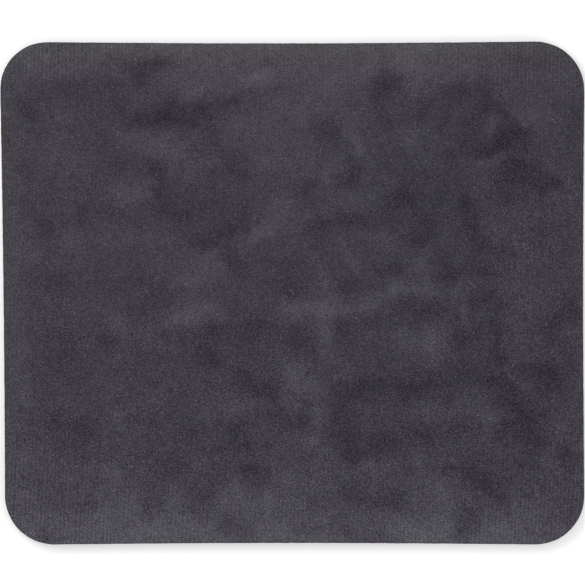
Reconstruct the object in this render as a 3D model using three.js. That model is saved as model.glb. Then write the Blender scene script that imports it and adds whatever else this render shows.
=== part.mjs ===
import * as THREE from 'three';

// A soft mouse pad, lying flat: napped cloth bonded to a sheet of sponge rubber and cut out with it.
// Millimetres, +Z up, +X to the user's right, +Y away from the user.
// The origin is under the middle of the pad, on the surface that it lies on.

// Cut outline: the sides' lengths between the lines of the neighbouring sides, before rounding.
// The right side is square to the front, and the left side leans in towards the front.
const backWidth = 235.3;
const frontWidth = 233.0;
const leftDepth = 202.2;
const rightDepth = 202.5;

// Corner radii of the cutting die.
const backLeftRadius = 18.7;
const backRightRadius = 19.6;
const frontRightRadius = 19.6;
const frontLeftRadius = 19.8;

// How far the middle of each side has drawn in since the pad was cut.
const backBow = 0.6;
const rightBow = 0.45;
const frontBow = 0.6;
const leftBow = 0.35;

// Layers, from the table up.
const foamThickness = 4.0;
const filmThickness = 0.1;
const clothThickness = 0.9;

// Cut edge: the sponge's wall is hollowed by the knife, the film is squeezed back from the edge
// and the nap rolls over at the top.
const foamEdgeHollow = 0.22;
const filmSetback = 0.12;
const napEdgeRadius = 0.5;

// Facet counts.
const cornerSteps = 16;
const sideSteps = 12;
const foamWallSteps = 6;
const napEdgeSteps = 5;

// Corners run anticlockwise from the front right. Each bow is that of the side after its corner.
const corners = [
  { at: new THREE.Vector2(0, 0), radius: frontRightRadius, bow: rightBow },
  { at: new THREE.Vector2(0, rightDepth), radius: backRightRadius, bow: backBow },
  { at: new THREE.Vector2(-backWidth, leftDepth), radius: backLeftRadius, bow: leftBow },
  { at: new THREE.Vector2(-frontWidth, 0), radius: frontLeftRadius, bow: frontBow },
];

// The direction to the left of another one, which points into an anticlockwise outline.
function leftOf(direction) {
  return new THREE.Vector2(-direction.y, direction.x);
}

// The arc that rounds one corner, tangent to both sides and moved in by the inset.
function cornerArc(index, inset) {
  const { at, radius } = corners[index];
  const before = corners[(index + corners.length - 1) % corners.length].at;
  const after = corners[(index + 1) % corners.length].at;
  const arriving = at.clone().sub(before).normalize();
  const leaving = after.clone().sub(at).normalize();
  const turn = Math.acos(arriving.dot(leaving));
  const start = at.clone().addScaledVector(arriving, -radius * Math.tan(turn / 2));
  const centre = start.addScaledVector(leftOf(arriving), radius);
  const spoke = leftOf(arriving).multiplyScalar(inset - radius);
  return Array.from({ length: cornerSteps + 1 }, (_, step) =>
    spoke.clone().rotateAround(new THREE.Vector2(), turn * (step / cornerSteps)).add(centre));
}

// The points of one side between its two arcs, drawn in most at the middle.
function bowedSide(from, to, bow) {
  const inward = leftOf(to.clone().sub(from).normalize());
  return Array.from({ length: sideSteps - 1 }, (_, step) => {
    const share = (step + 1) / sideSteps;
    return from.clone().lerp(to, share).addScaledVector(inward, bow * Math.sin(Math.PI * share));
  });
}

// The whole outline, moved in from the cut edge by the inset.
function padOutline(inset) {
  const arcs = corners.map((_, index) => cornerArc(index, inset));
  return arcs.flatMap((arc, index) => {
    const nextArc = arcs[(index + 1) % arcs.length];
    return [...arc, ...bowedSide(arc.at(-1), nextArc[0], corners[index].bow)];
  });
}

// A closed body through outlines stacked from its underside to its top.
function stackedSolid(levels) {
  const outlines = levels.map(({ inset }) => padOutline(inset));
  const ringSize = outlines[0].length;
  const positions = outlines.flatMap((outline, level) =>
    outline.flatMap(({ x, y }) => [x, y, levels[level].height]));

  const faces = [];
  for (let level = 0; level + 1 < levels.length; level += 1) {
    for (let step = 0; step < ringSize; step += 1) {
      const lower = level * ringSize + step;
      const lowerNext = level * ringSize + ((step + 1) % ringSize);
      faces.push(lower, lowerNext, lowerNext + ringSize);
      faces.push(lower, lowerNext + ringSize, lower + ringSize);
    }
  }
  const topStart = (levels.length - 1) * ringSize;
  THREE.ShapeUtils.triangulateShape(outlines[0], []).forEach(([a, b, c]) => faces.push(a, c, b));
  THREE.ShapeUtils.triangulateShape(outlines.at(-1), []).forEach(([a, b, c]) =>
    faces.push(topStart + a, topStart + b, topStart + c));

  const geometry = new THREE.BufferGeometry();
  geometry.setAttribute('position', new THREE.Float32BufferAttribute(positions, 3));
  geometry.setIndex(faces);
  geometry.computeVertexNormals();
  return geometry;
}

// Sponge rubber sheet: its wall is hollow by a shallow arc between the two faces.
function foamBase() {
  const levels = Array.from({ length: foamWallSteps + 1 }, (_, step) => {
    const share = step / foamWallSteps;
    return { inset: foamEdgeHollow * Math.sin(Math.PI * share), height: foamThickness * share };
  });
  const material = new THREE.MeshStandardMaterial({ color: 0x1f1e20, roughness: 0.93, metalness: 0 });
  return new THREE.Mesh(stackedSolid(levels), material);
}

// Hot-melt film between sponge and cloth.
function adhesiveFilm() {
  const levels = [
    { inset: filmSetback, height: foamThickness },
    { inset: filmSetback, height: foamThickness + filmThickness },
  ];
  const material = new THREE.MeshStandardMaterial({ color: 0x4b494c, roughness: 0.45, metalness: 0 });
  return new THREE.Mesh(stackedSolid(levels), material);
}

// Napped knit cloth: an upright cut wall, then a quarter round where the nap rolls over.
function pileCloth() {
  const bottom = foamThickness + filmThickness;
  const top = bottom + clothThickness;
  const rolledEdge = Array.from({ length: napEdgeSteps + 1 }, (_, step) => {
    const angle = (Math.PI / 2) * (step / napEdgeSteps);
    return {
      inset: napEdgeRadius * (1 - Math.cos(angle)),
      height: top - napEdgeRadius * (1 - Math.sin(angle)),
    };
  });
  const material = new THREE.MeshStandardMaterial({ color: 0x423e46, roughness: 0.97, metalness: 0 });
  return new THREE.Mesh(stackedSolid([{ inset: 0, height: bottom }, ...rolledEdge]), material);
}

const namedParts = {
  foam_base: foamBase(),
  adhesive_film: adhesiveFilm(),
  pile_cloth: pileCloth(),
};

const mousePad = new THREE.Group();
for (const [name, mesh] of Object.entries(namedParts)) {
  mesh.name = name;
  mousePad.add(mesh);
}

// The corners above are measured from the front right, so the pad is moved to its own middle.
const middle = new THREE.Box2().setFromPoints(padOutline(0)).getCenter(new THREE.Vector2());
mousePad.position.set(-middle.x, -middle.y, 0);
mousePad.updateMatrixWorld(true);

export default mousePad;
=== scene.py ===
import math
from collections import namedtuple

import bpy
import numpy as np
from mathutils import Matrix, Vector
from mathutils.geometry import delaunay_2d_cdt


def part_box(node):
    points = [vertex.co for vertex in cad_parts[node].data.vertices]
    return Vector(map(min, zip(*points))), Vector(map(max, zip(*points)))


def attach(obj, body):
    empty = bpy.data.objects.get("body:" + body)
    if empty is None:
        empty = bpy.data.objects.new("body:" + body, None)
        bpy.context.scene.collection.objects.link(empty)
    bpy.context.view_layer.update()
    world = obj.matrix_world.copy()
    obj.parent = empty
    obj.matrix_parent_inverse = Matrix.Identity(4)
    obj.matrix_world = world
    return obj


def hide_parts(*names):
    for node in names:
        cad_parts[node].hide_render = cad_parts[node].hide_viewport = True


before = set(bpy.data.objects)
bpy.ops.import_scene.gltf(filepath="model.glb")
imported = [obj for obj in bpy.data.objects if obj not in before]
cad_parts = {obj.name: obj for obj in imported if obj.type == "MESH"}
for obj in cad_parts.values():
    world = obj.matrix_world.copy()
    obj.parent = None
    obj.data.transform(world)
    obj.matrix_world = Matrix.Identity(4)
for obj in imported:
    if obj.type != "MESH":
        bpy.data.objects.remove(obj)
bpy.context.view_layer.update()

# Shapes are worked out in millimetres and written in metres.
MM = 0.001

# The photograph: the side of its square frame, and where the pad's edges lie in it, in pixels.
PHOTO_SIDE_PX = 585
PAD_LEFT_PX, PAD_RIGHT_PX = 0.2, 584.4
PAD_BACK_PX, PAD_FRONT_PX = 41.3, 544.7

# The layers' faces and the pad's middle, from the frame.
cloth_low, cloth_high = (np.array(corner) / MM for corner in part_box("pile_cloth"))
foam_low, foam_high = (np.array(corner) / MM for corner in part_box("foam_base"))
PAD_MIDDLE = (cloth_low + cloth_high) / 2
PAD_MIDDLE_PX = ((PAD_LEFT_PX + PAD_RIGHT_PX) / 2, (PAD_BACK_PX + PAD_FRONT_PX) / 2)
PX = (cloth_high[0] - cloth_low[0]) / (PAD_RIGHT_PX - PAD_LEFT_PX)

# Cloth: its wales, the mesh's points for each and its rows, its rolled edge, and how many bands of
# faces are laid out as wall. The wales swing to the left towards the front, by a share of the depth
# and by a curl that grows with its cube.
WALE_PITCH = 3.96 * PX
WALE_SWING = 3.0
WALE_CURL = 3.3
POINTS_PER_WALE = 3
CLOTH_ROW = 1.1
NAP_EDGE_RADIUS = 0.5
NAP_EDGE_STEPS = 4
CLOTH_WALL_BANDS = 4

# Depths of the cloth's relief, and of the raggedness of every cut.
WALE_RELIEF = 0.035
TUFT_RELIEF = 0.045
NAP_RELIEF = 0.06
WAVE_RELIEF = 0.05
CUT_ROUGHNESS = 0.05

# Looks of the nap: how many times lighter one unit of it is, as painted sheen of the pile's lay; its
# grain and hairs, with sizes in metres and a turn in radians; how dark the wales and the cut are, as
# painted shade in the wales' valleys and partly at the cut; and the linear colours, where the dye has
# faded and where it holds, of its pits, deeper purple as painted interreflection, its tips, greyer as
# painted sheen, and its rim.
NAP_CONTRAST = 1.92
GRAIN_SIZE = 0.00021
GRAIN_CONTRAST = 4.15
HAIR_SIZE = 0.00016
HAIR_CONTRAST = 3.4
PILE_TURN = -0.25
WALE_SHADE = -0.11
CUT_SHADE = -0.15
FADED_PITS, DYED_PITS = (0.0606, 0.0463, 0.0771, 1), (0.0660, 0.0458, 0.0788, 1)
FADED_TIPS, DYED_TIPS = (0.0512, 0.0508, 0.0553, 1), (0.0560, 0.0503, 0.0563, 1)
FADED_RIM = (0.0516, 0.0512, 0.0562, 1)

# Fibres of the pile, how many and how wide, and how many sides a thread of lint has.
EDGE_FIBRES = 2400
EDGE_FIBRE_WIDTH = 0.045
LOOSE_FIBRES = 8000
LOOSE_FIBRE_WIDTH = 0.12
THREAD_SIDES = 5

# Sponge: its hollow cut wall and the moulded grip pattern below.
FOAM_WALL_STEPS = 12
FOAM_EDGE_HOLLOW = 0.22
FOAM_PORE_SIZE = 0.75
FOAM_PORE_DEPTH = 0.13
GRIP_PITCH = 3.6
POINTS_PER_GRIP = 4
GRIP_DEPTH = 0.35

# Steps of the meshes: along the cut edge, the insets at which rings follow it before the lattice
# starts, and across a hidden face.
CLOTH_EDGE_STEP = 0.55
SPONGE_EDGE_STEP = 0.38
BAND_INSETS = (0.85, 1.3)
LATTICE_INSET = 1.75
HIDDEN_STEP = 8.0

# How many points are compared with an outline at a time.
BATCH = 2000

# Layout of the maps that the materials' pictures are drawn on: shares of the picture, millimetres
# that the nap stands proud, how much larger than the face the cloth's wall is drawn, and in how many
# rows a wall is.
MAP_MARGIN = 0.004
MAP_SLACK = 0.3
MAP_CLOTH_WALL = 3.0
MAP_WALL_ROWS = 4

# Studio: brightness of the surroundings, lamps by place, watts and side, and the floor, whose own
# light grows with distance from the pad. Metres.
WORLD_LEVEL = 0.62
LAMPS = (
    ("key", (-0.62, 0.55, 0.8), 4.6, 0.7),
    ("fill", (0.7, -0.5, 0.75), 2.0, 0.8),
)
FLOOR_SIDE = 8.0
FLOOR_GAP = 0.00002
FLOOR_LIFT_NEAR, FLOOR_LIFT_FAR = 0.28, 0.6
FLOOR_NEAR, FLOOR_FAR = 0.2, 0.7
CAMERA_DISTANCE = 2.0
SENSOR_WIDTH = 36.0

# Marks in the nap, placed against the photograph: middle, half length and half width in pixels, how
# far the nap is darkened or lightened there, in hundredths, and the turn in degrees of a slanting
# one.
# The marks' darkness and lightness is painted sheen of pressed and brushed pile; the lay also lowers or
# raises the relief.
DARK_MARKS = (
    # Back left quarter
    (158, 65, 18, 6, 75, 5), (140, 75, 8, 13, 70), (65, 87, 22, 9, 35, 15), (100, 85, 35, 14, 35),
    (120, 105, 9, 10, 40), (27, 110, 15, 9, 50, -60), (158, 118, 20, 7, 90), (171, 105, 12, 9, 75, 60),
    (136, 121, 8, 5, 60), (200, 110, 20, 9, 70, 15), (232, 98, 10, 5, 80, 15), (185, 122, 15, 6, 50),
    (103, 143, 7, 9, 40), (122, 163, 14, 10, 40, 50), (155, 168, 13, 9, 70, -30), (160, 187, 9, 14, 45),
    (160, 207, 10, 9, 65), (190, 205, 32, 18, 35), (235, 165, 14, 9, 50), (228, 229, 14, 8, 80, 15),
    (245, 213, 6, 12, 45), (205, 243, 16, 7, 65, 10), (238, 265, 14, 9, 50, -50), (290, 270, 16, 16, 45),
    (45, 226, 14, 9, 50, -60), (81, 218, 8, 20, 35), (115, 210, 14, 7, 25), (57, 286, 17, 11, 40, -25),
    (135, 284, 25, 8, 25), (165, 292, 16, 7, 40), (22, 168, 10, 10, 25), (160, 58, 15, 9, 60),
    (114, 58, 14, 9, 45), (15, 68, 10, 11, 30), (150, 82, 8, 9, 30), (270, 66, 9, 8, 30),
    (214, 142, 26, 6, 30, -68), (209, 175, 11, 8, 35, -45), (178, 130, 5, 5, 30), (244, 177, 10, 5, 35),
    (182, 219, 18, 6, 35, -25), (12, 102, 9, 16, 35), (127, 72, 10, 7, 35), (194, 80, 9, 6, 30),
    (5, 142, 10, 14, 35), (53, 46, 26, 6, 40), (254, 97, 9, 11, 18), (9, 73, 8, 9, 20), (173, 62, 9, 7, 20),
    (90, 103, 20, 13, 16), (116, 121, 11, 9, 15), (282, 95, 9, 7, 18),
    # Back right quarter
    (292, 292, 12, 8, 60, -25), (382, 85, 12, 16, 80), (398, 85, 8, 10, 50), (385, 117, 6, 14, 40, 15),
    (322, 130, 10, 8, 55), (348, 181, 11, 8, 60, 20), (355, 168, 6, 8, 50), (308, 190, 14, 11, 45),
    (350, 219, 22, 9, 60), (320, 228, 12, 9, 60, 15), (392, 205, 12, 9, 65, 30), (402, 195, 18, 8, 60, -10),
    (410, 203, 9, 12, 35), (420, 238, 14, 7, 75, 20), (427, 220, 8, 18, 45, 15), (412, 118, 14, 7, 40),
    (424, 108, 6, 12, 45), (458, 87, 14, 8, 55), (482, 85, 7, 12, 50), (466, 117, 7, 6, 50),
    (455, 103, 20, 12, 35), (490, 103, 11, 8, 75, -20), (505, 116, 10, 7, 55, -45),
    (514, 135, 17, 12, 110, 25), (500, 145, 12, 7, 80, 25), (485, 153, 12, 6, 90, 15), (525, 130, 8, 9, 60),
    (468, 135, 14, 16, 45), (516, 167, 14, 12, 95), (507, 185, 16, 14, 60), (532, 175, 14, 16, 55),
    (507, 202, 8, 5, 60), (552, 184, 9, 6, 100, 10), (541, 187, 9, 8, 50), (448, 190, 9, 12, 40),
    (466, 204, 9, 16, 75, 15), (472, 230, 10, 16, 50), (438, 205, 6, 12, 40), (482, 243, 12, 8, 55, -45),
    (500, 250, 14, 6, 50, -10), (455, 160, 12, 16, 30), (425, 180, 20, 10, 35), (450, 275, 10, 8, 85),
    (441, 281, 7, 6, 40), (482, 270, 18, 7, 60, -10), (393, 268, 16, 8, 55, 10), (347, 285, 13, 9, 55, 20),
    (566, 250, 9, 6, 30), (545, 235, 9, 16, 30), (577, 112, 6, 10, 40), (525, 64, 16, 6, 30, -10),
    (360, 62, 10, 8, 30), (428, 58, 12, 7, 45), (388, 92, 7, 10, 35), (445, 122, 6, 9, 50),
    (482, 111, 6, 7, 30), (333, 133, 6, 12, 35, 25), (475, 150, 9, 8, 30), (525, 147, 7, 6, 45),
    (437, 193, 9, 8, 40), (395, 225, 7, 9, 30), (418, 245, 16, 5, 30), (500, 207, 7, 12, 30),
    (442, 262, 14, 7, 45, -20), (400, 276, 8, 8, 30), (372, 99, 5, 6, 60), (415, 215, 6, 8, 30),
    (572, 136, 8, 16, 25), (449, 220, 7, 7, 35), (460, 292, 6, 9, 20), (478, 262, 17, 12, 16),
    (511, 194, 20, 9, 16), (556, 286, 14, 22, 16),
    # Front left quarter
    (105, 340, 9, 9, 75), (60, 350, 22, 26, 35), (138, 305, 16, 18, 35), (210, 331, 15, 8, 65),
    (235, 307, 8, 7, 40), (257, 328, 11, 11, 75), (211, 358, 12, 10, 80, -20), (200, 348, 14, 12, 35),
    (245, 355, 14, 8, 35), (246, 379, 13, 10, 65, -20), (268, 391, 14, 9, 90, 5),
    (290, 420, 18, 9, 60, -15), (233, 430, 13, 9, 60), (234, 446, 20, 7, 55), (190, 430, 20, 11, 40, 10),
    (150, 421, 12, 7, 45), (85, 428, 16, 13, 60, -20), (60, 425, 22, 9, 45, -5), (248, 470, 14, 6, 70),
    (262, 477, 8, 8, 60), (170, 470, 14, 10, 45, -40), (205, 491, 22, 11, 50, 50),
    (230, 523, 14, 8, 65, -20), (245, 535, 8, 9, 45), (158, 357, 18, 7, 35), (46, 530, 8, 10, 50),
    (225, 308, 9, 7, 35, -30), (236, 330, 9, 6, 35, -35), (204, 367, 12, 5, 40), (214, 415, 6, 9, 50, 25),
    (262, 413, 12, 5, 30, 10), (151, 455, 12, 5, 30), (62, 538, 20, 6, 40), (151, 506, 9, 8, 45),
    (90, 504, 9, 3, 50), (230, 532, 12, 8, 25), (17, 520, 13, 13, 30), (8, 362, 8, 20, 30),
    (250, 542, 120, 5, 20), (55, 506, 8, 10, 18), (45, 538, 18, 12, 18),
    # Front right quarter
    (298, 336, 15, 11, 50), (298, 351, 8, 6, 40), (345, 331, 10, 9, 70), (374, 322, 15, 6, 45, -10),
    (434, 311, 13, 8, 65), (408, 305, 18, 8, 50, 10), (418, 325, 7, 9, 35), (484, 302, 16, 9, 65),
    (497, 330, 6, 26, 50), (466, 338, 11, 9, 75), (456, 325, 6, 12, 45), (485, 330, 9, 9, 40),
    (463, 372, 11, 16, 50), (490, 356, 10, 7, 40, 30), (503, 361, 5, 7, 50), (482, 376, 15, 7, 45),
    (552, 328, 7, 14, 70, -20), (569, 305, 9, 11, 60), (562, 318, 15, 5, 40), (545, 373, 16, 7, 100, -10),
    (553, 382, 8, 9, 90, -30), (525, 370, 10, 5, 50), (571, 365, 9, 8, 40), (365, 388, 13, 9, 80),
    (417, 390, 18, 8, 75), (390, 384, 42, 7, 50), (442, 382, 13, 9, 50), (415, 373, 40, 5, 30),
    (341, 410, 9, 25, 60), (345, 438, 9, 8, 70), (353, 455, 11, 8, 80, -30), (386, 438, 16, 7, 65),
    (375, 449, 24, 9, 50), (424, 438, 13, 11, 65), (447, 400, 6, 8, 50), (462, 428, 16, 9, 50),
    (508, 389, 14, 10, 90, -50), (524, 414, 13, 11, 105, -60), (535, 438, 15, 11, 80, -70),
    (531, 462, 8, 7, 70), (505, 430, 11, 14, 50), (496, 380, 11, 7, 50), (565, 455, 7, 12, 65, 15),
    (470, 475, 9, 11, 65), (486, 484, 13, 8, 85, -30), (497, 495, 9, 6, 55), (450, 470, 12, 4, 60),
    (465, 510, 11, 9, 60), (462, 528, 9, 11, 70), (348, 491, 9, 12, 50, 30), (370, 501, 20, 8, 40),
    (391, 500, 15, 11, 45), (343, 528, 10, 9, 60), (530, 495, 9, 6, 35), (305, 405, 7, 6, 35),
    (380, 536, 12, 7, 40), (500, 465, 28, 7, 30), (424, 317, 13, 7, 30), (507, 362, 7, 7, 40),
    (357, 397, 13, 6, 35), (384, 395, 5, 8, 35), (409, 402, 9, 5, 40), (456, 387, 8, 5, 40),
    (498, 401, 8, 7, 40), (540, 392, 13, 12, 50), (540, 413, 9, 6, 40, -30), (357, 432, 7, 7, 35),
    (523, 441, 11, 6, 55, -45), (508, 483, 7, 8, 30), (475, 527, 6, 8, 40), (545, 537, 14, 6, 30),
    (565, 345, 9, 12, 40), (503, 403, 7, 9, 30), (574, 318, 6, 14, 35), (545, 520, 12, 7, 30),
    (308, 529, 15, 8, 50), (362, 532, 20, 8, 30), (536, 532, 18, 8, 20), (472, 306, 4, 16, 40),
    (510, 407, 9, 7, 35), (484, 486, 7, 9, 30), (468, 528, 8, 10, 25), (521, 423, 8, 6, 35),
    (478, 517, 8, 6, 30), (552, 366, 8, 6, 35), (443, 475, 9, 8, 25), (515, 517, 12, 9, 20),
    (546, 392, 18, 44, 14), (537, 452, 9, 9, 18), (385, 425, 40, 15, 10), (293, 307, 11, 10, 20),
    (367, 541, 30, 6, 30), (461, 541, 15, 7, 30), (578, 329, 6, 8, 20), (490, 472, 11, 16, 18),
    (554, 334, 9, 12, 18), (467, 459, 12, 16, 14), (522, 442, 13, 14, 14), (540, 540, 20, 9, 18),
    (334, 440, 11, 9, 16), (369, 393, 13, 7, 15),
)
LIGHT_MARKS = (
    # Back left quarter
    (255, 78, 22, 6, 50, 20), (195, 88, 22, 13, 45), (140, 140, 26, 9, 40), (175, 150, 20, 14, 45, -30),
    (205, 165, 16, 9, 35), (133, 192, 19, 13, 50, 15), (270, 130, 28, 28, 30), (290, 108, 18, 9, 30),
    (282, 205, 15, 18, 50), (262, 234, 22, 7, 60, 25), (70, 240, 13, 13, 35), (120, 238, 45, 9, 25),
    (205, 268, 20, 13, 45), (190, 285, 28, 12, 35, 15), (70, 157, 20, 11, 20), (72, 74, 8, 5, 35),
    (236, 125, 13, 10, 30), (146, 153, 20, 7, 30), (167, 170, 6, 9, 55), (82, 200, 5, 9, 40),
    (204, 253, 12, 6, 35), (148, 290, 26, 6, 35, 10), (60, 140, 18, 12, 20), (266, 165, 24, 10, 30),
    (62, 121, 8, 7, 40), (29, 253, 9, 12, 30), (160, 208, 18, 10, 18), (152, 246, 20, 9, 18),
    (27, 158, 8, 9, 22), (288, 77, 11, 7, 20), (180, 265, 15, 14, 12), (155, 168, 18, 8, 15),
    (289, 284, 9, 13, 15), (71, 259, 8, 9, 16), (282, 172, 9, 9, 16), (15, 270, 12, 13, 15),
    (64, 76, 14, 13, 14),
    # Back right quarter
    (425, 62, 20, 16, 35), (411, 87, 9, 10, 35), (330, 85, 20, 11, 20), (493, 126, 6, 10, 55),
    (535, 116, 13, 10, 50), (357, 147, 22, 5, 35, -55), (362, 233, 9, 6, 55), (388, 240, 11, 9, 40),
    (344, 250, 25, 5, 50, -58), (316, 262, 19, 5, 35, -60), (421, 265, 8, 15, 55), (420, 290, 20, 7, 70),
    (398, 285, 8, 11, 60), (408, 137, 13, 10, 30), (310, 160, 18, 16, 15), (365, 68, 13, 8, 40),
    (325, 98, 34, 24, 22), (358, 150, 14, 7, 30, -40), (426, 139, 13, 11, 25), (330, 176, 5, 17, 45),
    (303, 224, 20, 5, 35, 60), (324, 284, 8, 9, 50), (524, 124, 12, 4.5, 75, -50), (505, 95, 12, 6, 30, 25),
    (502, 154, 6, 5, 50, 30), (349, 198, 15, 8, 35), (388, 187, 12, 5, 35, 20), (524, 127, 5, 4, 40),
    (431, 275, 4, 12, 30, -15), (540, 75, 28, 8, 25), (329, 182, 12, 12, 25), (310, 119, 14, 12, 25),
    (349, 132, 7, 8, 40), (490, 164, 11, 7, 30, 25), (455, 290, 12, 3.5, 60, 70), (340, 161, 9, 8, 35),
    (565, 176, 9, 16, 20), (302, 175, 12, 12, 20), (532, 47, 36, 9, 25), (398, 190, 24, 10, 15),
    (521, 88, 13, 11, 15), (378, 68, 12, 12, 12), (294, 262, 10, 12, 18), (326, 102, 11, 9, 18),
    (320, 290, 20, 14, 13), (354, 207, 20, 10, 14),
    # Front left quarter
    (178, 318, 17, 8, 85, 5), (206, 308, 18, 9, 70), (118, 322, 13, 5, 40, -45), (291, 372, 9, 15, 55),
    (231, 408, 21, 8, 50, 25), (257, 402, 11, 6, 40), (207, 416, 8, 9, 45), (117, 416, 8, 13, 50),
    (135, 430, 8, 7, 30), (112, 490, 11, 24, 40), (233, 496, 15, 16, 60), (267, 506, 8, 13, 40),
    (70, 478, 8, 5, 40), (13, 360, 11, 24, 30), (20, 458, 14, 14, 25), (160, 392, 10, 7, 25),
    (285, 480, 14, 12, 30), (170, 500, 12, 11, 30), (164, 346, 10, 7, 25), (115, 330, 12, 8, 25),
    (146, 330, 10, 7, 25), (262, 376, 12, 6, 30, -25), (289, 402, 7, 6, 40), (30, 462, 12, 13, 25),
    (95, 470, 11, 10, 20), (30, 492, 18, 12, 20), (130, 506, 13, 12, 40), (95, 515, 13, 8, 25),
    (205, 486, 7, 8, 30), (250, 507, 12, 10, 25), (280, 505, 18, 13, 30), (280, 475, 11, 13, 20),
    (181, 514, 8, 6, 45), (80, 416, 18, 9, 25), (24, 426, 6, 6, 35), (45, 460, 16, 11, 30),
    (154, 405, 14, 9, 30), (115, 472, 11, 9, 35), (28, 500, 12, 11, 30), (221, 402, 14, 9, 25),
    (45, 515, 9, 7, 35), (28, 351, 8, 10, 35), (52, 323, 14, 12, 20), (285, 394, 7, 18, 20),
    (125, 307, 26, 9, 15), (127, 334, 30, 14, 10), (50, 404, 16, 12, 12), (134, 508, 20, 9, 18),
    (58, 353, 13, 9, 18), (112, 389, 9, 7, 18), (216, 505, 7, 9, 20), (66, 313, 14, 18, 15),
    (78, 425, 9, 11, 16), (112, 425, 15, 8, 16), (77, 472, 26, 15, 12),
    # Front right quarter
    (293, 312, 13, 10, 50), (325, 306, 38, 8, 60), (325, 335, 7, 18, 65), (371, 305, 13, 9, 50),
    (434, 345, 13, 19, 70), (405, 340, 16, 15, 35), (307, 388, 18, 15, 55), (322, 412, 9, 9, 40),
    (312, 440, 13, 9, 65), (430, 412, 11, 9, 40), (492, 416, 11, 11, 45), (418, 465, 6, 15, 50, -10),
    (375, 466, 18, 8, 35), (320, 470, 19, 13, 20), (437, 485, 13, 15, 45), (523, 388, 19, 4, 55, -45),
    (570, 333, 9, 9, 40), (561, 430, 14, 15, 25), (530, 511, 19, 10, 30), (294, 413, 9, 8, 45),
    (325, 314, 26, 7, 30), (336, 362, 10, 7, 30, -45), (340, 378, 8, 5, 45), (317, 420, 5, 12, 45),
    (570, 405, 5, 11, 25), (458, 413, 12, 6, 30, 10), (540, 460, 10, 6, 55, 20), (318, 480, 10, 11, 30),
    (305, 500, 9, 13, 30), (445, 508, 12, 15, 40), (463, 505, 8, 8, 30), (397, 515, 10, 6, 35, 20),
    (520, 497, 10, 7, 30), (325, 449, 8, 7, 40), (463, 306, 4, 15, 50), (418, 502, 9, 7, 35),
    (295, 511, 9, 8, 18), (322, 397, 8, 8, 18), (361, 336, 11, 12, 18), (475, 404, 20, 8, 16),
    (301, 467, 10, 8, 18), (317, 324, 16, 9, 15), (419, 301, 11, 9, 14),
)

# Patches of tint: middle, half width and half height in pixels, and how purple the cloth is there.
TINT_PATCHES = (
    (160, 200, 135, 150, 1.0), (280, 90, 250, 38, 1.0), (260, 230, 75, 110, 1.0), (500, 120, 55, 80, 1.0),
    (530, 260, 36, 75, 1.0), (550, 345, 25, 35, 1.0), (82, 385, 24, 30, 1.0), (130, 365, 60, 24, 0.8),
    (225, 335, 70, 25, 0.7), (340, 315, 30, 14, 0.9), (395, 185, 52, 58, 0.0), (420, 260, 66, 45, 0.0),
    (385, 245, 28, 8, 0.8), (322, 132, 15, 15, 0.0), (228, 230, 24, 26, 0.1), (292, 262, 38, 8, 0.2),
    (403, 122, 12, 10, 0.1), (205, 180, 12, 7, 0.2), (163, 118, 8, 8, 0.3), (383, 130, 16, 26, 0.8),
    (553, 170, 12, 44, 0.1), (552, 277, 18, 9, 0.3),
)

# Lint caught in the nap: each thread's points in pixels, its width in millimetres and how pale it is,
# and the places of pale specks.
LINT_THREADS = (
    (((468.7, 281.3), (472.3, 284.7), (476.7, 288.0)), 0.17, 0.65),
    (((496.7, 252.7), (502.0, 253.0), (508.5, 254.6), (514.7, 257.7)), 0.2, 0.0),
    (((471.7, 293.7), (476.0, 293.9), (479.2, 292.6), (481.0, 289.7)), 0.17, 0.05),
)
LINT_SPECKS = (
    (441, 81), (112, 87), (434, 341), (118, 194), (241, 477), (118, 389), (502, 345), (546, 324),
    (515, 235), (347, 211),
)
LINT_SPECK_SIZE = 0.46


# Noise and vectors

def lattice_noise(x, y, cell, seed):
    """Smooth noise from -1 to 1, with bumps about one cell apart."""
    side = 256
    table = np.random.default_rng(seed).uniform(-1, 1, (side, side))
    u, v = x / cell + side, y / cell + side
    column, row = np.floor(u).astype(int), np.floor(v).astype(int)
    fu, fv = smooth_step(0, 1, u - column), smooth_step(0, 1, v - row)
    c0, c1, r0, r1 = column % side, (column + 1) % side, row % side, (row + 1) % side
    near = table[r0, c0] * (1 - fu) + table[r0, c1] * fu
    far = table[r1, c0] * (1 - fu) + table[r1, c1] * fu
    return near * (1 - fv) + far * fv


def fractal_noise(x, y, cell, octaves, seed):
    """Noise in several sizes, each half the size and strength of the last."""
    total = np.zeros_like(x)
    for octave in range(octaves):
        total += lattice_noise(x, y, cell / 2 ** octave, seed + octave) / 2 ** octave
    return total


def smooth_step(low, high, value):
    """0 up to low, 1 from high, and an even curve between them."""
    share = ((value - low) / (high - low)).clip(0, 1)
    return share * share * (3 - 2 * share)


def unit(vectors):
    return vectors / np.linalg.norm(vectors, axis=1)[:, None]


# Outline of the cut, from the frame

CutLine = namedtuple("CutLine", "points inward step")


def cut_outline(step):
    """The cut edge, anticlockwise: points an even step apart, and the normals that point inwards."""
    places = np.array([vertex.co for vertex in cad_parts["pile_cloth"].data.vertices]) / MM
    ring = np.unique(places[places[:, 2] < cloth_low[2] + 0.01, :2].round(3), axis=0)
    ring = ring[np.argsort(np.arctan2(ring[:, 1], ring[:, 0]))]
    closed = np.vstack([ring, ring[:1]])
    along = np.append(0, np.cumsum(np.hypot(*np.diff(closed, axis=0).T)))
    count = round(along[-1] / step)
    stations = np.linspace(0, along[-1], count, endpoint=False)
    points = np.stack([np.interp(stations, along, closed[:, axis]) for axis in (0, 1)], 1)
    for _ in range(6):
        points = (np.roll(points, 1, 0) + 2 * points + np.roll(points, -1, 0)) / 4
    ahead = unit(np.roll(points, -1, 0) - np.roll(points, 1, 0))
    return CutLine(points, np.stack([-ahead[:, 1], ahead[:, 0]], 1), along[-1] / count)


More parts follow.
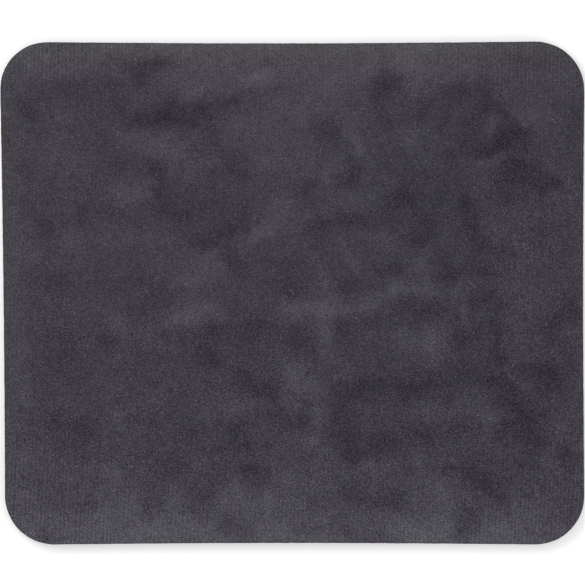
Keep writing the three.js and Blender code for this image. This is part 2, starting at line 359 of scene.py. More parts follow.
CLOTH_CUT = cut_outline(CLOTH_EDGE_STEP)
SPONGE_CUT = cut_outline(SPONGE_EDGE_STEP)
COARSE_OUTLINE = CLOTH_CUT.points[::8]


def edge_distance(x, y):
    """How far points lie inside the cut edge, negative outside it."""
    start = COARSE_OUTLINE
    along = np.roll(start, -1, 0) - start
    squared = (along ** 2).sum(1)
    distance = np.empty(x.size)
    places = np.stack([x.ravel(), y.ravel()], 1)
    for first in range(0, len(places), BATCH):
        part = places[first:first + BATCH]
        to_point = part[:, None] - start[None]
        share = ((to_point * along).sum(2) / squared).clip(0, 1)
        gap = to_point - share[..., None] * along
        length = np.hypot(gap[..., 0], gap[..., 1])
        nearest = length.argmin(1)
        rows = np.arange(len(part))
        (ahead_x, ahead_y), (to_x, to_y) = along[nearest].T, to_point[rows, nearest].T
        side = ahead_x * to_y - ahead_y * to_x
        distance[first:first + BATCH] = np.sign(side) * length[rows, nearest]
    return distance.reshape(x.shape)


# Fields over the cloth

def to_photo(x, y):
    """Millimetres on the cloth to pixels of the photograph."""
    return PAD_MIDDLE_PX[0] + (x - PAD_MIDDLE[0]) / PX, PAD_MIDDLE_PX[1] - (y - PAD_MIDDLE[1]) / PX


def marks_at(x_px, y_px, marks):
    """The marks' strengths added up at points of the photograph."""
    total = np.zeros_like(x_px)
    for middle_x, middle_y, half_length, half_width, percent, *turn in marks:
        angle = math.radians(turn[0] if turn else 0)
        right, up = x_px - middle_x, middle_y - y_px
        along = (right * math.cos(angle) + up * math.sin(angle)) / half_length
        across = (up * math.cos(angle) - right * math.sin(angle)) / half_width
        total += percent / 100 * np.exp(-(along ** 2 + across ** 2))
    return total


def from_edges(x_px, y_px):
    """How far points lie in from the left, right, back and front ends of the pad, in pixels."""
    return x_px - PAD_LEFT_PX, PAD_RIGHT_PX - x_px, y_px - PAD_BACK_PX, PAD_FRONT_PX - y_px


def painted_edge_light(x_px, y_px):
    """Painted light in lighter strips along the four edges: how strong each is, and how wide in pixels."""
    from_left, from_right, from_back, from_front = from_edges(x_px, y_px)
    back = 0.79 * np.exp(-(from_back / 38) ** 2) * (1 - 0.45 * smooth_step(430, 540, x_px))
    back += 0.16 * np.exp(-(from_back / 6) ** 2)
    front = 0.55 * (1 - smooth_step(10, 40, from_front)) + 0.45 * np.exp(-(from_front / 60) ** 2)
    front = front * (1 - 0.4 * smooth_step(535, 580, x_px)) + 0.08 * np.exp(-(from_front / 6) ** 2)
    left = 0.32 * np.exp(-(from_left / 26) ** 4) + 0.05 * np.exp(-(from_left / 4) ** 2)
    right = 0.17 * np.exp(-(from_right / 6) ** 2)
    return back + front + left + right


def wander(x, y, seed):
    """How far the marks' borders stray, in millimetres."""
    return 1.2 * fractal_noise(x, y, 5.0, 3, seed) + 0.7 * lattice_noise(x, y, 1.8, seed + 4)


def nap_and_sheen_at(x, y):
    """How the nap lies: below 0 pressed and dark, above 0 brushed up and light, that lightness being
    painted sheen, with painted light along the edges.
    """
    x_px, y_px = to_photo(x + wander(x, y, 11), y + wander(x, y, 21))
    marks = marks_at(x_px, y_px, LIGHT_MARKS) - marks_at(x_px, y_px, DARK_MARKS)
    cloud = 0.10 * fractal_noise(x, y, 9.0, 3, 31) + 0.12 * fractal_noise(x, y, 2.6, 2, 41)
    return marks + painted_edge_light(x_px, y_px) + cloud


def warmth_at(x, y):
    """How purple the cloth's grey is, from 0 to 1: the dye has faded in patches and on the left."""
    stray_x, stray_y = (1.5 * fractal_noise(x, y, 6.0, 2, seed) for seed in (111, 121))
    x_px, y_px = to_photo(x + stray_x, y + stray_y)
    total = np.zeros_like(x)
    for middle_x, middle_y, half_width, half_height, strength in TINT_PATCHES:
        reach = np.hypot(((x_px - middle_x) / half_width) ** 2, ((y_px - middle_y) / half_height) ** 2)
        patch = 1 - smooth_step(0.75, 1.25, reach)
        total = total * (1 - patch) + strength * patch
    total *= smooth_step(23, 33, x_px - PAD_LEFT_PX)
    return (total + 0.25 * fractal_noise(x, y, 3.2, 2, 131)).clip(0, 1)


def rim_at(x, y):
    """Where the brushed rim has lost its purple: most at the back edge, then the right, then the left."""
    from_left, from_right, from_back, _ = from_edges(*to_photo(x, y))
    back = 1 - 0.55 * smooth_step(4, 8, from_back) - 0.45 * smooth_step(17, 25, from_back)
    left = 0.12 - 0.12 * smooth_step(3, 20, from_left)
    right = 0.42 - 0.42 * smooth_step(2, 10, from_right)
    return np.maximum.reduce([back, left, right])


def coarseness_at(x, y):
    """How open the nap's grain is: closest at the back left, where the cloth is least worn."""
    x_px, y_px = to_photo(x, y)
    front = smooth_step(180, 500, y_px)
    right = smooth_step(460, 510, x_px) * smooth_step(130, 210, y_px)
    return 0.87 + 0.3 * np.maximum(front, right)


def wale_shift(y):
    """How far the wales have swung to the left, from none at the back edge to most at the front."""
    share = (cloth_high[1] - y) / (cloth_high[1] - cloth_low[1])
    return WALE_SWING * share + WALE_CURL * share ** 3


def wale_wear(x, y):
    """How clearly the wales stand out: most along the front and back edges and at the corners."""
    from_left, from_right, from_back, from_front = from_edges(*to_photo(x, y))
    front = 1 - smooth_step(0, 160, from_front)
    back = 1 - smooth_step(0, 90, from_back)
    ends = 1 - smooth_step(50, 130, np.minimum(from_left, from_right))
    wear = 0.35 + 0.7 * front + 0.6 * back + (0.2 + 1.3 * front + back) * ends
    return wear.clip(0, 2)


def cloth_relief(x, y, nap):
    """Height of the wales, tufts, brushed nap and slow waves over the cloth's plain face."""
    wales = -np.cos(2 * math.pi * (x + wale_shift(y)) / WALE_PITCH) * wale_wear(x, y)
    tufts = lattice_noise(x, y, 1.25, 61) + 0.6 * lattice_noise(x, y, 0.8, 62)
    waves = lattice_noise(x, y, 45.0, 63)
    knit = WALE_RELIEF * (wales - 1) + TUFT_RELIEF * tufts
    return knit + NAP_RELIEF * nap.clip(-1.2, 0.6) + WAVE_RELIEF * waves


def nap_height(x, y):
    return cloth_relief(x, y, nap_and_sheen_at(x, y))


def grip_recess(x, y):
    """How far the moulded diamonds are sunk into the underside, as a height over the desk."""
    waves = np.cos(2 * math.pi * x / GRIP_PITCH) * np.cos(2 * math.pi * y / GRIP_PITCH)
    return GRIP_DEPTH * (0.5 - 0.5 * waves)


# Meshes

def flat_triangles(points, loops):
    """Triangles that fill the flat region between loops, which list a boundary's points in order."""
    points = np.float32(points)
    edges = np.array([pair for loop in loops for pair in zip(loop, loop[1:] + loop[:1])])
    made = delaunay_2d_cdt([Vector(point) for point in points], edges.tolist(), [], 0, 1e-9, True)
    origins = [sources[0] for sources in made[3]]
    triangles = np.array([[origins[corner] for corner in face] for face in made[2]])
    places = points.astype(float)
    middles = places[triangles].mean(1)
    (start_x, start_y), (end_x, end_y) = places[edges[:, 0]].T, places[edges[:, 1]].T
    inside = np.zeros(len(middles), bool)
    for first in range(0, len(middles), BATCH):
        x, y = middles[first:first + BATCH].T[..., None]
        spans = (start_y > y) != (end_y > y)
        with np.errstate(divide="ignore", invalid="ignore"):
            crossing = start_x + (y - start_y) * (end_x - start_x) / (end_y - start_y)
        inside[first:first + BATCH] = (spans & (x < crossing)).sum(1) % 2 == 1
    return triangles[inside].tolist()


def boundary_loops(quads):
    """The closed loops of edges that only one quad uses, each in the quads' own order."""
    ahead = {}
    used = set()
    for quad in quads:
        used.update(zip(quad, np.roll(quad, -1)))
    for start, end in used:
        if (end, start) not in used:
            ahead.setdefault(start, []).append(end)
    loops = []
    while ahead:
        first = next(iter(ahead))
        loop = [first]
        while True:
            ends = ahead[loop[-1]]
            following = ends.pop()
            if not ends:
                del ahead[loop[-1]]
            if following == first:
                break
            loop.append(following)
        loops.append(loop)
    return loops


def cell_corners(lattice):
    """The values at the four corners of a lattice's cells, anticlockwise."""
    return lattice[:-1, :-1], lattice[:-1, 1:], lattice[1:, 1:], lattice[1:, :-1]


def sheet_shape(cut, levels, relief, columns, rows, lean, faces_up):
    """A closed sheet inside the cut line, and how many triangles its hidden face has.

    levels are (inset, height, relief share, roughness share), from the hidden face up or down the cut
    wall and in over the worked face. Inside the last ring lies a lattice with the given columns and
    rows, and lean moves its points to the left by their place along y.
    """
    count = len(cut.points)
    stations = np.arange(count) * cut.step
    roughness = 0.7 * lattice_noise(stations, stations * 0, 1.1, 71)
    roughness += 0.6 * lattice_noise(stations, stations * 0, 2.9, 72)
    rings = []
    for inset, height, relief_share, rough_share in levels:
        place = cut.points + cut.inward * (inset + CUT_ROUGHNESS * rough_share * roughness)[:, None]
        lift = relief_share * relief(place[:, 0], place[:, 1]) if relief_share else np.zeros(count)
        rings.append(np.column_stack([place, height + lift]))
    worked_height = levels[-1][1]

    grid_x, grid_y = np.meshgrid(columns, rows)
    grid_x = grid_x - lean(grid_y)
    inside = edge_distance(grid_x, grid_y) > LATTICE_INSET
    kept = np.logical_and.reduce(cell_corners(inside))
    used = np.zeros_like(inside)
    for corner in cell_corners(used):
        corner |= kept
    number = np.full(inside.shape, -1)
    number[used] = np.arange(used.sum()) + len(levels) * count
    lattice_x, lattice_y = grid_x[used], grid_y[used]
    lattice = np.column_stack([lattice_x, lattice_y, worked_height + relief(lattice_x, lattice_y)])
    quads = np.stack([corner[kept] for corner in cell_corners(number)], 1).tolist()

    sparse = [lines[::round(HIDDEN_STEP / (lines[1] - lines[0]))] for lines in (columns, rows)]
    hidden_x, hidden_y = np.meshgrid(*sparse)
    deep = edge_distance(hidden_x, hidden_y) > HIDDEN_STEP / 3
    hidden = np.column_stack([hidden_x[deep], hidden_y[deep], np.full(deep.sum(), levels[0][1])])
    vertices = np.vstack([*rings, lattice, hidden])

    faces = []
    for level in range(len(levels) - 1):
        low, high = level * count, (level + 1) * count
        for step, following in enumerate([*range(1, count), 0]):
            faces.append((low + step, low + following, high + following, high + step))
    faces += [tuple(quad) for quad in quads]

    last_ring = list(range((len(levels) - 1) * count, len(levels) * count))
    border = boundary_loops(quads)
    local = last_ring + [corner for loop in border for corner in loop]
    local_of = {corner: index for index, corner in enumerate(local)}
    loops = [[local_of[corner] for corner in loop] for loop in [last_ring, *border]]
    faces += [tuple(local[corner] for corner in triangle)
              for triangle in flat_triangles(vertices[local, :2], loops)]

    cap = [*range(count), *range(len(vertices) - len(hidden), len(vertices))]
    hidden_faces = flat_triangles(vertices[cap, :2], [list(range(count))])
    faces += [tuple(cap[corner] for corner in reversed(triangle)) for triangle in hidden_faces]
    if not faces_up:
        faces = [tuple(reversed(face)) for face in faces]
    return vertices, faces, len(hidden_faces)


def add_mesh(name, vertices, faces):
    """A shown, smooth-shaded piece from millimetres."""
    mesh = bpy.data.meshes.new(name)
    mesh.from_pydata((np.asarray(vertices) * MM).tolist(), [], faces)
    mesh.shade_smooth()
    piece = bpy.data.objects.new(name, mesh)
    bpy.context.scene.collection.objects.link(piece)
    return piece


def add_field(piece, name, values):
    """A number at every vertex, which the materials read."""
    field = piece.data.attributes.new(name, "FLOAT", "POINT")
    field.data.foreach_set("value", np.asarray(values, dtype=np.float32))


def add_map(piece, spots):
    """The layout that the materials' pictures are drawn on, a place for every face's corner."""
    layer = piece.data.uv_layers.new(name="OFBake")
    layer.data.foreach_set("uv", np.asarray(spots, dtype=np.float32).ravel())


def add_sheet_map(piece, cut, wall_bands, stretch, hidden_faces):
    """Lays out a sheet: worked face as seen from above, cut wall in rows, hidden face small."""
    mesh = piece.data
    count = len(cut.points)
    corners = np.empty(len(mesh.loops), np.int32)
    mesh.loops.foreach_get("vertex_index", corners)
    places = np.array([vertex.co for vertex in mesh.vertices]) / MM
    low = cloth_low[:2] - MAP_SLACK
    width, depth = cloth_high[:2] - cloth_low[:2] + 2 * MAP_SLACK
    scale = (1 - 2 * MAP_MARGIN) / width
    spots = MAP_MARGIN + (places[corners, :2] - low) * scale

    wall = corners[:4 * count * wall_bands].reshape(-1, 4)
    step = np.tile(np.arange(count), wall_bands)[:, None]
    ahead = (wall - step) % count
    row = step * MAP_WALL_ROWS // count
    rings = places[:count * (wall_bands + 1)].reshape(-1, count, 3)
    rises = np.linalg.norm(np.diff(rings, axis=0), axis=2).mean(1)
    run = np.append(0, np.cumsum(rises)) * scale * stretch
    along = (step + ahead - row * count / MAP_WALL_ROWS) * cut.step * scale
    first_row = 2 * MAP_MARGIN + depth * scale
    row_height = run[-1] + MAP_MARGIN
    spots[:wall.size, 0] = (MAP_MARGIN + along).ravel()
    spots[:wall.size, 1] = (first_row + row * row_height + run[wall // count]).ravel()

    hidden = corners[-3 * hidden_faces:]
    corner = (MAP_MARGIN, first_row + MAP_WALL_ROWS * row_height)
    small = (1 - MAP_MARGIN - corner[1]) / depth
    spots[-3 * hidden_faces:] = corner + (places[hidden, :2] - low) * small
    add_map(piece, spots)


def add_strand_map(piece, count):
    """Lays out strands: a cell for each, with its three sides next to each other."""
    pattern = []
    for side in range(3):
        left, right = side / 3 + 0.03, side / 3 + 0.3
        middle = (left + right) / 2
        pattern += [(left, 0.3), (right, 0.3), (middle, 0.05)]
        pattern += [(right, 0.3), (left, 0.3), (left, 0.7), (right, 0.7)]
        pattern += [(right, 0.7), (left, 0.7), (middle, 0.95)]
    cells = math.ceil(math.sqrt(count))
    index = np.arange(count)
    origins = np.stack([index % cells, index // cells], 1)
    add_map(piece, (origins[:, None] + np.array(pattern)) / cells)


def lattice_lines(low, high, spacing):
    """Evenly spaced places across a span, one of them at zero."""
    return np.arange(math.floor(low / spacing), math.ceil(high / spacing) + 1) * spacing


def napped_cloth():
    """The knit cloth: upright cut wall, rolled nap edge, and wales, tufts and brushed marks in relief."""
    low, top = cloth_low[2], cloth_high[2]
    wall_top = top - NAP_EDGE_RADIUS
    levels = [(0.06, low, 0, 0.6), (0.0, low + 0.15, 0, 1.0), (0.0, wall_top, 0, 1.0)]
    for step in range(1, NAP_EDGE_STEPS + 1):
        angle = math.pi / 2 * step / NAP_EDGE_STEPS
        inset, rise = NAP_EDGE_RADIUS * (1 - math.cos(angle)), NAP_EDGE_RADIUS * math.sin(angle)
        levels.append((inset, wall_top + rise, math.sin(angle) ** 2, math.cos(angle)))
    levels += [(inset, top, 1.0, 0) for inset in BAND_INSETS]
    swung_end = cloth_high[0] + wale_shift(cloth_low[1])
    columns = lattice_lines(cloth_low[0], swung_end, WALE_PITCH / POINTS_PER_WALE)
    rows = lattice_lines(cloth_low[1], cloth_high[1], CLOTH_ROW)
    vertices, faces, hidden_faces = sheet_shape(
        CLOTH_CUT, levels, nap_height, columns, rows, wale_shift, faces_up=True)
    piece = add_mesh("napped_cloth", vertices, faces)
    add_sheet_map(piece, CLOTH_CUT, CLOTH_WALL_BANDS, MAP_CLOTH_WALL, hidden_faces)
    x, y, height = vertices.T
    fields = {
        "nap": nap_and_sheen_at(x, y),
        "warmth": warmth_at(x, y),
        "brushed_rim": rim_at(x, y),
        "coarseness": coarseness_at(x, y),
        "wale": (x + wale_shift(y)) / WALE_PITCH,
        "wear": wale_wear(x, y),
        "cut": 1 - smooth_step(0.1, 0.9, edge_distance(x, y)) * smooth_step(low + 0.2, top - 0.1, height),
    }
    for name, values in fields.items():
        add_field(piece, name, values)
    return piece


def sponge_base():
    """The sponge rubber sheet: hollow porous cut wall and moulded diamonds on its underside."""
    levels = []
    for step in range(FOAM_WALL_STEPS + 1):
        share = step / FOAM_WALL_STEPS
        height = foam_high[2] * (1 - share) + (GRIP_DEPTH + 0.1) * share
        levels.append((FOAM_EDGE_HOLLOW * math.sin(math.pi * share), height, 0, 1.0))
    levels += [(0.08, 0.0, 1.0, 1.0), (0.5, 0.0, 1.0, 0)]
    levels += [(inset + 0.1, 0.0, 1.0, 0) for inset in BAND_INSETS]
    spacing = GRIP_PITCH / POINTS_PER_GRIP
    columns = lattice_lines(foam_low[0], foam_high[0], spacing)
    rows = lattice_lines(foam_low[1], foam_high[1], spacing)
    vertices, faces, hidden_faces = sheet_shape(
        SPONGE_CUT, levels, grip_recess, columns, rows, np.zeros_like, faces_up=False)
    count = len(SPONGE_CUT.points)
    wall = slice(count, count * FOAM_WALL_STEPS)
    around = np.tile(np.arange(count) * SPONGE_CUT.step, FOAM_WALL_STEPS - 1)
    pores = (lattice_noise(around, vertices[wall, 2], FOAM_PORE_SIZE, 81) - 0.1).clip(0, 1)
    inward = np.tile(SPONGE_CUT.inward, (FOAM_WALL_STEPS - 1, 1))
    vertices[wall, :2] += inward * (FOAM_PORE_DEPTH * pores)[:, None]
    piece = add_mesh("sponge_base", vertices, faces)
    add_sheet_map(piece, SPONGE_CUT, FOAM_WALL_STEPS + 1, 1.0, hidden_faces)
    rings = np.arange(len(vertices)) // count
    add_field(piece, "skin", rings > FOAM_WALL_STEPS)
    add_field(piece, "tread", 1 - grip_recess(vertices[:, 0], vertices[:, 1]) / GRIP_DEPTH)
    return piece


def strands(name, roots, headings, lengths, width, droop, bend, shade):
    """Three-sided fibres, pointed at both ends, that sink by their droop and swing by their bend."""
    vertices, faces = [], []
    for root, heading, length, fall, swing in zip(roots, headings, lengths, droop, bend):
        side = np.cross(heading, (0, 0, 1.0))
        side /= np.linalg.norm(side)
        above = np.cross(side, heading)
        start = len(vertices)
        vertices.append(root)
        for share in (0.3, 0.7, 1.0):
            aside = side * swing * share * (1 - share) + np.array([0, 0, -fall * share ** 2])
            centre = root + length * (heading * share + aside)
            if share == 1.0:
                vertices.append(centre)
                continue
            for turn in range(3):
                angle = 2 * math.pi * turn / 3
                vertices.append(centre + width / 2 * (side * math.cos(angle) + above * math.sin(angle)))
        for turn in range(3):
            low, following = start + 1 + turn, start + 1 + (turn + 1) % 3
            faces.append((low, following, start))
            faces.append((following, low, low + 3, following + 3))
            faces.append((following + 3, low + 3, start + 7))
    piece = add_mesh(name, np.array(vertices), faces)
    add_field(piece, "shade", np.repeat(shade, 8))
    add_strand_map(piece, len(roots))
    return piece


def edge_fibres():
    """Cut pile that stands a little proud of the cloth's edge."""
    rng = np.random.default_rng(101)
    count = EDGE_FIBRES
    outline, inward = CLOTH_CUT.points, CLOTH_CUT.inward
    picks = rng.integers(0, len(outline), count)
    height_share = rng.uniform(0, 1, count)
    radius = NAP_EDGE_RADIUS
    angle = (height_share * 1.5 - 0.25).clip(0, 1) * math.pi / 2
    inset = radius * (1 - np.cos(angle)) + 0.06
    wall_top = cloth_high[2] - radius
    on_wall = cloth_low[2] + height_share * 6 * (wall_top - cloth_low[2])
    height = np.where(height_share < 1 / 6, on_wall, wall_top + radius * np.sin(angle))
    roots = np.column_stack([outline[picks] + inward[picks] * inset[:, None], height - 0.03])
    sideways = np.column_stack([-inward[picks, 1], inward[picks, 0]]) * rng.normal(0, 0.6, count)[:, None]
    outward = -inward[picks] * np.cos(angle)[:, None] + sideways
    headings = unit(np.column_stack([outward, np.sin(angle) * 0.5 + rng.normal(0, 0.25, count)]))
    lengths = 0.14 + 0.22 * rng.uniform(0, 1, count) ** 3
    droop = rng.uniform(0, 0.5, count)
    shade = 0.5 + 0.9 * rng.uniform(0, 1, count)
    bend = np.zeros(count)
    return strands("edge_fibres", roots, headings, lengths, EDGE_FIBRE_WIDTH, droop, bend, shade)


def loose_fibres():
    """Longer hairs of the pile that lie over the face, mostly as it was brushed, a few of them pale as
    painted glints.
    """
    rng = np.random.default_rng(151)
    x = rng.uniform(cloth_low[0], cloth_high[0], LOOSE_FIBRES)
    y = rng.uniform(cloth_low[1], cloth_high[1], LOOSE_FIBRES)
    inside = edge_distance(x, y) > LATTICE_INSET
    x, y = x[inside], y[inside]
    count = x.size
    nap = nap_and_sheen_at(x, y)
    roots = np.column_stack([x, y, cloth_high[2] + cloth_relief(x, y, nap)])
    angle = PILE_TURN + rng.normal(0, 0.6, count) + math.pi * rng.integers(0, 2, count)
    headings = unit(np.column_stack([np.cos(angle), np.sin(angle), rng.uniform(0.1, 0.3, count)]))
    lengths = rng.uniform(0.5, 1.3, count)
    droop = rng.uniform(0.2, 0.4, count)
    bend = rng.normal(0, 0.8, count)
    # Painted glints: a few hairs are made several times paler, and all follow the nap's painted sheen.
    shade = (0.8 + 8.0 * rng.uniform(0, 1, count) ** 3) * np.exp(0.3 * nap)
    return strands("loose_fibres", roots, headings, lengths, LOOSE_FIBRE_WIDTH, droop, bend, shade)


def thread(points, width):
    """A limp thread along points, tapered and closed at its ends."""
    ends = np.linalg.norm(np.diff(points, axis=0), axis=1)
    along = np.append(0, np.cumsum(ends)) / ends.sum()
    stations = np.linspace(0, 1, 4 * len(points))
    middles = np.stack([np.interp(stations, along, points[:, axis]) for axis in range(3)], 1)
    for _ in range(3):
        middles[1:-1] = (middles[:-2] + 2 * middles[1:-1] + middles[2:]) / 4
    sides = np.cross(unit(np.gradient(middles, axis=0)), (0, 0, 1.0))
    radii = width / 2 * (0.35 + 0.65 * np.sin(np.pi * stations) ** 0.5)
    count = THREAD_SIDES
    turns = 2 * math.pi * np.arange(count)[:, None] / count
    spokes = np.cos(turns) * sides[:, None] + np.sin(turns) * np.array([0, 0, 1.0])
    vertices = (middles[:, None] + radii[:, None, None] * spokes).reshape(-1, 3)
    faces = [tuple(reversed(range(count))), tuple(range(len(vertices) - count, len(vertices)))]
    for ring in range(len(middles) - 1):
        for turn in range(count):
            low, following = count * ring + turn, count * ring + (turn + 1) % count
            faces.append((low, following, following + count, low + count))
    return vertices, faces


def lint():
    """Threads and specks that lie on the nap."""
    rng = np.random.default_rng(141)
    threads = [(np.array(points, float), width, pale) for points, width, pale in LINT_THREADS]
    for place in LINT_SPECKS:
        angle = rng.uniform(0, math.pi)
        reach = LINT_SPECK_SIZE / 2 / PX * np.array([math.cos(angle), math.sin(angle)])
        middle = np.array(place) + 0.5
        threads.append((np.array([middle - reach, middle + reach]), LINT_SPECK_SIZE * 0.6, 1.0))
    vertices, faces, shade = [], [], []
    for points, width, pale in threads:
        x = PAD_MIDDLE[0] + (points[:, 0] - PAD_MIDDLE_PX[0]) * PX
        y = PAD_MIDDLE[1] - (points[:, 1] - PAD_MIDDLE_PX[1]) * PX
        height = cloth_high[2] + nap_height(x, y) + width / 2
        body, sides = thread(np.stack([x, y, height], 1), width)
        faces += [tuple(corner + len(vertices) for corner in side) for side in sides]
        vertices += body.tolist()
        shade += [pale] * len(body)
    piece = add_mesh("lint", vertices, faces)
    add_field(piece, "shade", shade)
    return piece


# Materials

class Shader:
    """The nodes of a material or a world, with short calls that add nodes and join them."""

    def __init__(self, owner, last_node="Principled BSDF"):
        owner.use_nodes = True
        self.owner = owner
        self.tree = owner.node_tree
        self.last_node = self.tree.nodes[last_node]

    def node(self, kind, sockets, output=0, **settings):
        """Adds a node and gives its output. A socket takes a number, a colour or another output."""
        made = self.tree.nodes.new("ShaderNode" + kind)
        for setting, value in settings.items():
            setattr(made, setting, value)
        self.fill(made, sockets)
        return made.outputs[output]

    def fill(self, made, sockets):
        for socket, value in sockets.items():
            if isinstance(value, bpy.types.NodeSocket):
                self.tree.links.new(value, made.inputs[socket])
            else:
                made.inputs[socket].default_value = value

    def finish(self, sockets):
        """Fills the last node's sockets, and gives the material or world."""
        self.fill(self.last_node, sockets)
        return self.owner

    def math(self, operation, first, second=0.0, third=0.0):
        return self.node("Math", {0: first, 1: second, 2: third}, operation=operation)

    def times(self, first, second):
        return self.math("MULTIPLY", first, second)

    def linear(self, value, slope, start):
        """The value times a slope, plus a start."""
        return self.math("MULTIPLY_ADD", value, slope, start)

    def field(self, name):
        return self.node("Attribute", {}, "Fac", attribute_name=name)

    def place(self):
        return self.node("TexCoord", {}, "Object")

    def noise(self, size, detail=2.0, spread=(1, 1, 1), turn=0.0, distortion=0.0):
        """Noise from about -0.5 to 0.5. Its features, of a size in metres, may be spread and turned."""
        sockets = {"Vector": self.place(), "Rotation": (0, 0, turn), "Scale": spread}
        turned = self.node("Mapping", sockets, vector_type="TEXTURE")
        sockets = {"Vector": turned, "Scale": 1 / size, "Detail": detail, "Distortion": distortion}
        return self.math("SUBTRACT", self.node("TexNoise", sockets, "Fac"), 0.5)

    def cells(self, size):
        """Distance from the middle of the nearest cell, from 0 to about 1."""
        return self.node("TexVoronoi", {"Vector": self.place(), "Scale": 1 / size}, "Distance")

    def mix(self, share, first, second):
        return self.node("Mix", {0: share, 2: first, 3: second})

    def blend(self, share, first, second):
        return self.node("Mix", {0: share, 6: first, 7: second}, 2, data_type="RGBA")

    def scaled_colour(self, colour, factor):
        return self.node("VectorMath", {0: colour, "Scale": factor}, operation="SCALE")

    def bump(self, height, distance, strength=1.0):
        return self.node("Bump", {"Height": height, "Distance": distance, "Strength": strength})


def new_material(name):
    return Shader(bpy.data.materials.new(name))


def cloth_material():
    """Dark purple-grey napped knit: brushed marks in painted sheen, grain, hairs, faint wales in painted
    shade and a cut edge darkened partly by painted shade.
    """
    shader = new_material("napped_cloth")
    grain = shader.noise(GRAIN_SIZE, 0.0, (1.45, 0.6, 2 * cloth_high[2] * MM / GRAIN_SIZE), PILE_TURN)
    coarseness = shader.field("coarseness")
    grain = shader.times(grain, coarseness)
    hairs = shader.noise(HAIR_SIZE, 1.0, (3.6, 0.5, 2 * cloth_high[2] * MM / HAIR_SIZE), PILE_TURN, 0.5)
    hairs = shader.times(hairs, coarseness)
    # Painted shade in the valleys between the wales, deeper where they are worn and varied in dashes.
    turns = shader.times(shader.field("wale"), 2 * math.pi)
    dashes = shader.linear(shader.noise(0.0014, 1.0, (0.67, 2.5, 1)), 3.0, 1.0)
    depth = shader.times(shader.field("wear"), shader.times(dashes, WALE_SHADE))
    wales = shader.times(shader.math("COSINE", turns), depth)
    # Painted sheen and shade: the nap's lay and the wales' valleys set how light the colour is.
    lightness = shader.math("POWER", NAP_CONTRAST, shader.math("ADD", shader.field("nap"), wales))
    contrast = shader.times(shader.math("POWER", lightness, -0.95), GRAIN_CONTRAST)
    speckle = shader.math("MAXIMUM", shader.linear(grain, contrast, 1.0), 0.15)
    speckle = shader.times(speckle, shader.linear(hairs, HAIR_CONTRAST, 1.0))
    lightness = shader.times(lightness, speckle)
    # Partly painted shade: the cut edge is darker for its own darker cut fibres and for painted self-shadow
    # of the rolled edge.
    rim = shader.linear(shader.field("cut"), CUT_SHADE, 1.0)
    rim = shader.times(rim, shader.linear(coarseness, 0.2, 0.8))
    lightness = shader.times(lightness, rim)
    warmth = shader.field("warmth")
    # Painted light in the grain's colour: deeper purple in dark grains as painted interreflection between
    # the fibres, greyer in light grains as painted sheen on their tips.
    pits = shader.blend(warmth, FADED_PITS, DYED_PITS)
    tips = shader.blend(warmth, FADED_TIPS, DYED_TIPS)
    steps = shader.math("LOGARITHM", lightness, NAP_CONTRAST)
    tip_share = shader.linear(steps, 0.25, shader.linear(coarseness, -0.32, 0.82))
    colour = shader.blend(tip_share, pits, tips)
    colour = shader.blend(shader.field("brushed_rim"), colour, FADED_RIM)
    return shader.finish({
        "Base Color": shader.scaled_colour(colour, lightness),
        "Roughness": 0.95,
        "Specular IOR Level": 0.15,
        "Sheen Weight": 0.25,
        "Sheen Roughness": 0.45,
        "Sheen Tint": (0.75, 0.72, 0.8, 1),
        "Normal": shader.bump(shader.math("ADD", grain, hairs), 0.00016, 0.9),
    })


def sponge_material():
    """Black sponge rubber: open cells where it is cut, their hollows darkened with painted shade, and a
    moulded skin with paler treads below.
    """
    shader = new_material("sponge_rubber")
    skin = shader.field("skin")
    cells = shader.cells(0.00042)
    grit = shader.noise(0.00016, 1.0)
    bloom = shader.noise(0.02, 3.0)
    # Painted shade: each cell is darkest in its middle, where the bump sinks it.
    pores_with_painted_shade = shader.linear(cells, 2.4, 0.25)
    treads = shader.linear(shader.field("tread"), 0.7, 0.7)
    lightness = shader.mix(skin, pores_with_painted_shade, shader.linear(grit, 1.2, treads))
    lightness = shader.times(lightness, shader.linear(bloom, 0.5, 1.0))
    return shader.finish({
        "Base Color": shader.scaled_colour((0.0145, 0.014, 0.015), lightness),
        "Roughness": shader.mix(skin, 0.9, shader.linear(shader.field("tread"), -0.15, 0.7)),
        "Specular IOR Level": 0.3,
        "Normal": shader.bump(shader.mix(skin, cells, grit), 0.00016, 0.9),
    })


def film_material():
    """Hot-melt film, seen as a line at the cut."""
    shader = new_material("adhesive")
    streaks = shader.noise(0.0012, 2.0)
    lightness = shader.linear(streaks, 0.6, 1.0)
    return shader.finish({
        "Base Color": shader.scaled_colour((0.07, 0.067, 0.073), lightness),
        "Roughness": shader.linear(streaks, 0.3, 0.45),
        "Normal": shader.bump(streaks, 0.00003),
    })


def fibre_material():
    """Loose cut pile, each fibre a little lighter or darker, and the palest loose hairs painted glints."""
    shader = new_material("cut_pile")
    return shader.finish({
        "Base Color": shader.scaled_colour((0.045, 0.0405, 0.05), shader.field("shade")),
        "Roughness": 0.9,
        "Specular IOR Level": 0.15,
    })


def lint_material():
    """Pale cotton lint and dark hairs."""
    shader = new_material("lint")
    fluff = shader.noise(0.0001, 2.0)
    colour = shader.blend(shader.field("shade"), (0.010, 0.009, 0.011, 1), (0.36, 0.345, 0.38, 1))
    return shader.finish({
        "Base Color": shader.scaled_colour(colour, shader.linear(fluff, 0.8, 1.0)),
        "Roughness": 0.8,
    })


# Studio

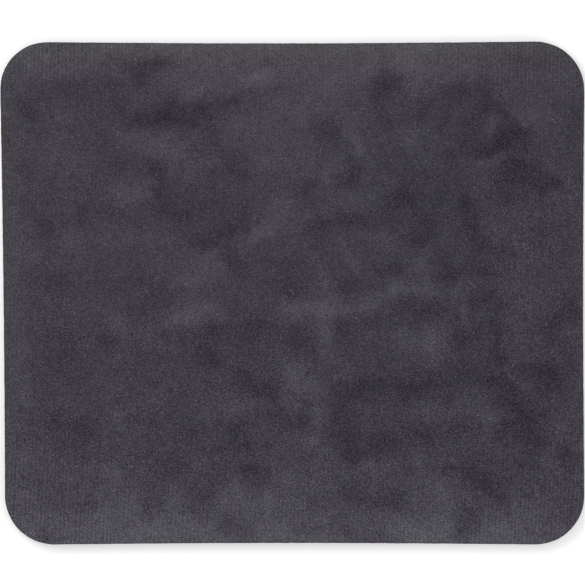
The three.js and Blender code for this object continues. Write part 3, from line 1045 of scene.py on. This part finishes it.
def studio():
    """White floor, white surroundings to the camera, and soft lamps at a plain level."""
    scene = bpy.context.scene
    scene.view_settings.view_transform = "Standard"

    scene.world = bpy.data.worlds.new("surroundings")
    world = Shader(scene.world, "Background")
    seen = world.node("LightPath", {}, "Is Camera Ray")
    for ray in ("Is Glossy Ray", "Is Transmission Ray"):
        seen = world.math("MAXIMUM", seen, world.node("LightPath", {}, ray))
    level = world.node("MapRange", {"Value": seen, "To Min": WORLD_LEVEL, "To Max": 1.0})
    world.finish({"Color": (1, 1, 1, 1), "Strength": level})

    for name, place, power, side in LAMPS:
        lamp = bpy.data.lights.new(name, "AREA")
        lamp.energy = power
        lamp.size = side
        holder = bpy.data.objects.new(name, lamp)
        holder.location = place
        holder.rotation_euler = (-Vector(place)).to_track_quat("-Z", "Y").to_euler()
        scene.collection.objects.link(holder)

    floor_mesh = bpy.data.meshes.new("floor")
    half = FLOOR_SIDE / 2
    corners = [(-half, -half, 0), (half, -half, 0), (half, half, 0), (-half, half, 0)]
    floor_mesh.from_pydata(corners, [], [(0, 1, 2, 3)])
    floor = bpy.data.objects.new("floor", floor_mesh)
    floor.location.z = -FLOOR_GAP
    scene.collection.objects.link(floor)
    shader = new_material("floor")
    distance = shader.node("VectorMath", {0: shader.place()}, "Value", operation="LENGTH")
    spans = {0: distance, 1: FLOOR_NEAR, 2: FLOOR_FAR, 3: FLOOR_LIFT_NEAR, 4: FLOOR_LIFT_FAR}
    lift = shader.node("MapRange", spans)
    white_floor = shader.finish({
        "Base Color": (0.93, 0.93, 0.93, 1),
        "Roughness": 0.9,
        "Specular IOR Level": 0.0,
        "Emission Color": (1, 1, 1, 1),
        "Emission Strength": shader.times(shader.node("LightPath", {}, "Is Camera Ray"), lift),
    })
    floor.data.materials.append(white_floor)


def camera():
    """Straight above the pad, framed as the photograph is."""
    data = bpy.data.cameras.new("camera")
    data.sensor_width = SENSOR_WIDTH
    data.lens = SENSOR_WIDTH * CAMERA_DISTANCE / (PHOTO_SIDE_PX * PX * MM)
    data.clip_end = 100
    holder = bpy.data.objects.new("camera", data)
    right = PAD_MIDDLE[0] + (PHOTO_SIDE_PX / 2 - PAD_MIDDLE_PX[0]) * PX
    back = PAD_MIDDLE[1] - (PHOTO_SIDE_PX / 2 - PAD_MIDDLE_PX[1]) * PX
    holder.location = (right * MM, back * MM, cloth_high[2] * MM + CAMERA_DISTANCE)
    bpy.context.scene.collection.objects.link(holder)
    bpy.context.scene.camera = holder


camera()
studio()

cloth = napped_cloth()
cloth.data.materials.append(cloth_material())
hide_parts("pile_cloth")

sponge = sponge_base()
sponge.data.materials.append(sponge_material())
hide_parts("foam_base")

pile = [edge_fibres(), loose_fibres()]
pile_material = fibre_material()
for piece in pile:
    piece.data.materials.append(pile_material)

fluff = lint()
fluff.data.materials.append(lint_material())

for piece in (cloth, sponge, *pile, fluff):
    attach(piece, "root")

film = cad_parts["adhesive_film"]
film.data.materials.clear()
film.data.materials.append(film_material())
